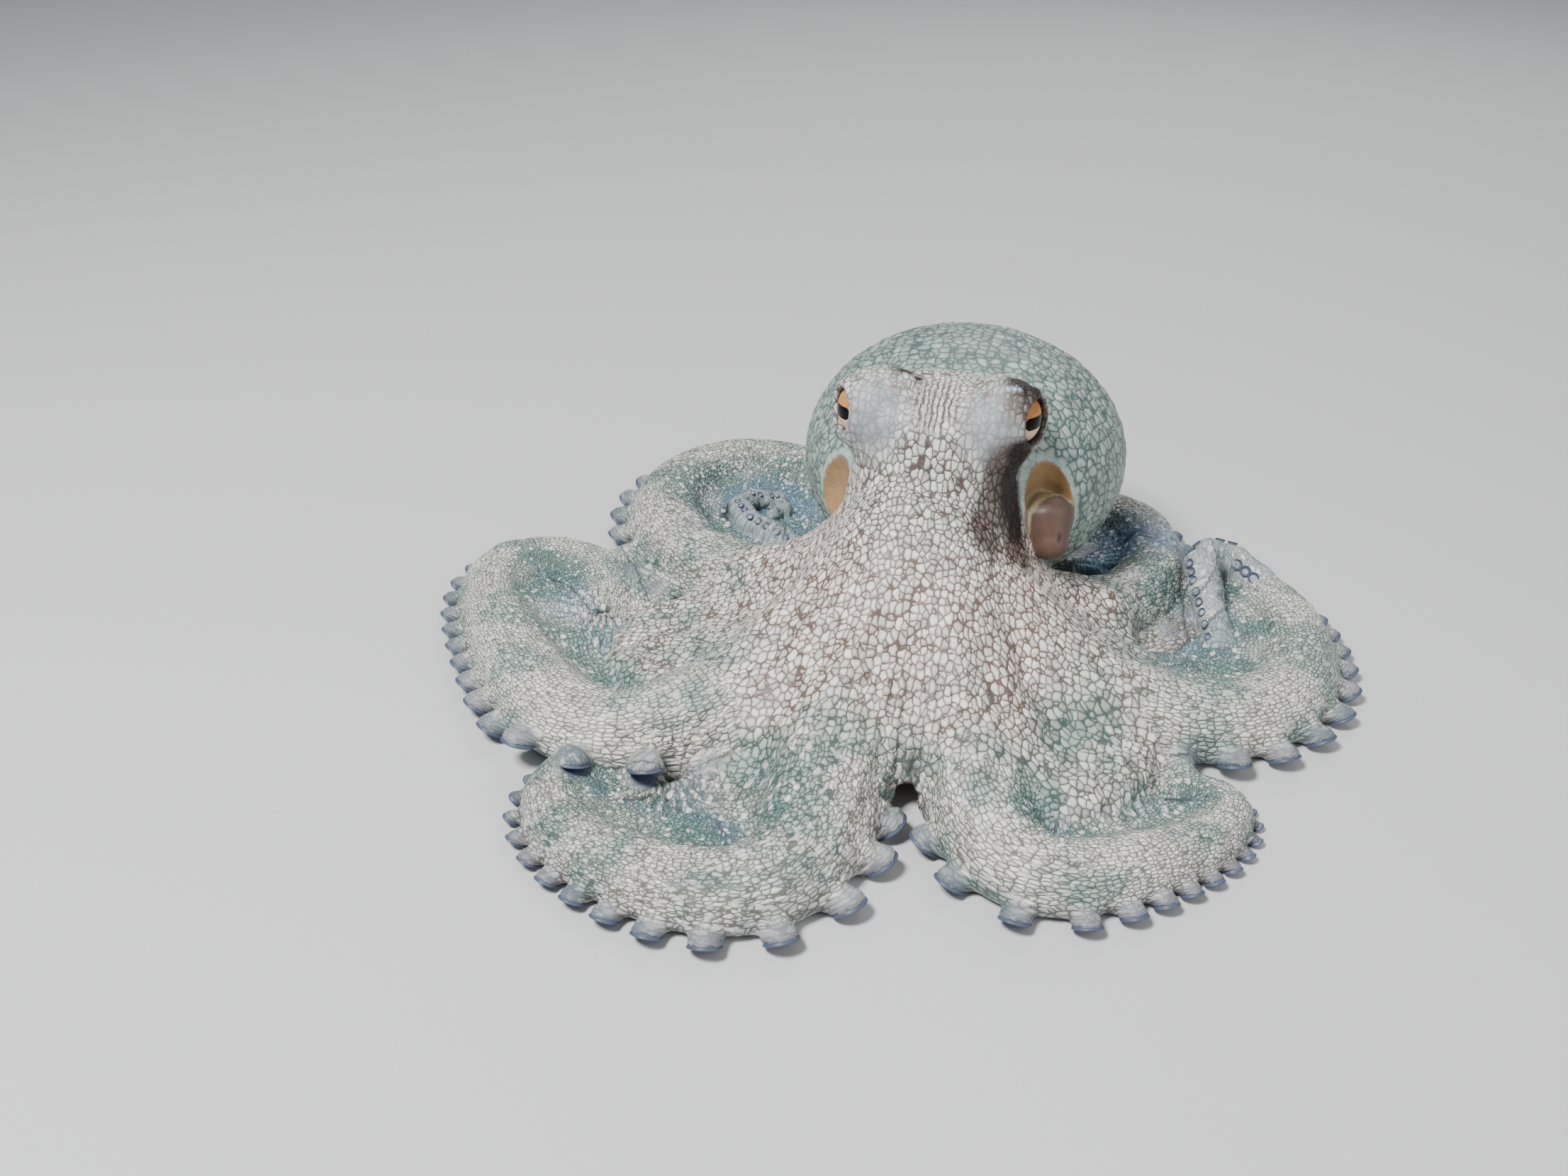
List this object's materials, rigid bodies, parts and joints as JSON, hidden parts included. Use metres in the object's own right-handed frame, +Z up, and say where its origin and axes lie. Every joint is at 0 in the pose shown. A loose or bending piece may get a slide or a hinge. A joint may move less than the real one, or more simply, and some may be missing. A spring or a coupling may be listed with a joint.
{
  "type": "octopus",
  "caption": "Octopus at rest with raised head, round mantle, siphon and arms spread on the ground, curled at their tips and edged with suckers.",
  "frame": {"origin": "middle of the footprint, at the level of the ground the arms lie on", "axes": "+Z up; the animal faces -Y, its left side towards +X, its mantle towards +Y"},
  "size_m": [0.2752, 0.2796, 0.092],
  "materials": {
    "skin": "moist, cream patches in a net of brown",
    "mantle_skin": "moist, grey-green patches in a darker net",
    "arm_skin": "moist, cream to grey-blue, pale suckers",
    "siphon_skin": "smooth and moist, brown",
    "eye": "wet, gold iris with a black slit"
  },
  "bodies": {
    "root": {"web": "skin", "head": "skin", "mantle": "mantle_skin", "siphon": "siphon_skin", "eye_right": "eye", "eye_left": "eye", "arm_r1_base": "arm_skin", "arm_r1_mid": "arm_skin", "arm_r1_tip": "arm_skin", "arm_r2_base": "arm_skin", "arm_r2_mid": "arm_skin", "arm_r2_tip": "arm_skin", "arm_r3_base": "arm_skin", "arm_r3_mid": "arm_skin", "arm_r3_tip": "arm_skin", "arm_r4_base": "arm_skin", "arm_r4_mid": "arm_skin", "arm_r4_tip": "arm_skin", "arm_l1_base": "arm_skin", "arm_l1_mid": "arm_skin", "arm_l1_tip": "arm_skin", "arm_l2_base": "arm_skin", "arm_l2_mid": "arm_skin", "arm_l2_tip": "arm_skin", "arm_l3_base": "arm_skin", "arm_l3_mid": "arm_skin", "arm_l3_tip": "arm_skin", "arm_l4_base": "arm_skin", "arm_l4_mid": "arm_skin", "arm_l4_tip": "arm_skin"}
  },
  "joints": []
}
